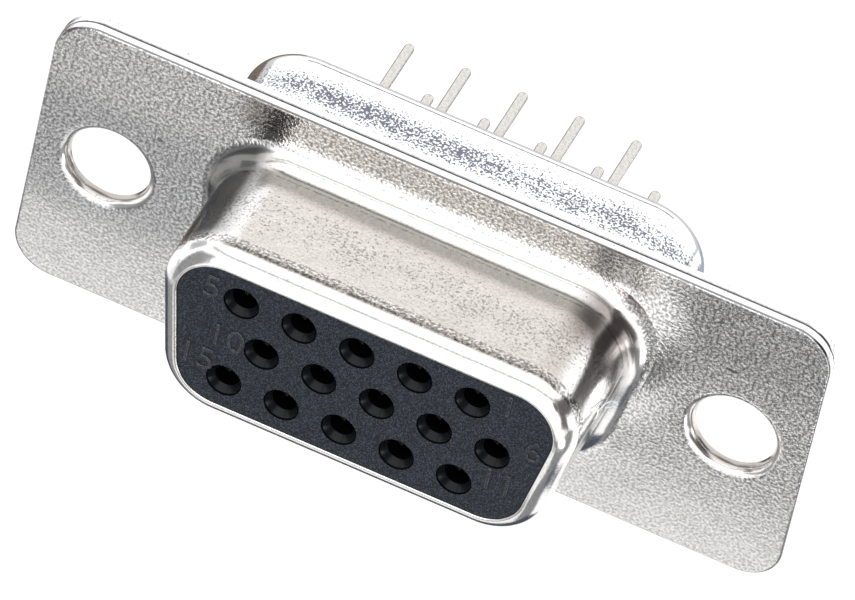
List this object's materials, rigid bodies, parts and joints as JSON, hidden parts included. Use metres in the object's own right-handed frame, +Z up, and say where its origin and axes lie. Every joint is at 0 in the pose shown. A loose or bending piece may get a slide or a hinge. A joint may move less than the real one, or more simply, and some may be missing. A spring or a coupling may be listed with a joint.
{
  "type": "d-sub connector",
  "caption": "High-density D-sub socket with a drawn steel flange and shroud, a rear shell, a dark insulator and straight tails for a circuit board.",
  "frame": {"origin": "centre of the flange's front face, midway between the two screw holes", "axes": "+X along the flange, to the right seen from the mating side; -Y out of the mating face; +Z up, towards the wide side of the D"},
  "size_m": [0.0308, 0.0157, 0.0126],
  "materials": {
    "shell": "bright tin plating with a fine grain",
    "insulator": "dark blue-grey glass-filled thermoplastic",
    "contact": "tin plating on a copper alloy"
  },
  "bodies": {
    "root": {"front_shell": "shell", "rear_shell": "shell", "front_insulator": "insulator", "rear_insulator": "insulator", "contact_01": "contact", "contact_02": "contact", "contact_03": "contact", "contact_04": "contact", "contact_05": "contact", "contact_06": "contact", "contact_07": "contact", "contact_08": "contact", "contact_09": "contact", "contact_10": "contact", "contact_11": "contact", "contact_12": "contact", "contact_13": "contact", "contact_14": "contact", "contact_15": "contact"}
  },
  "joints": []
}
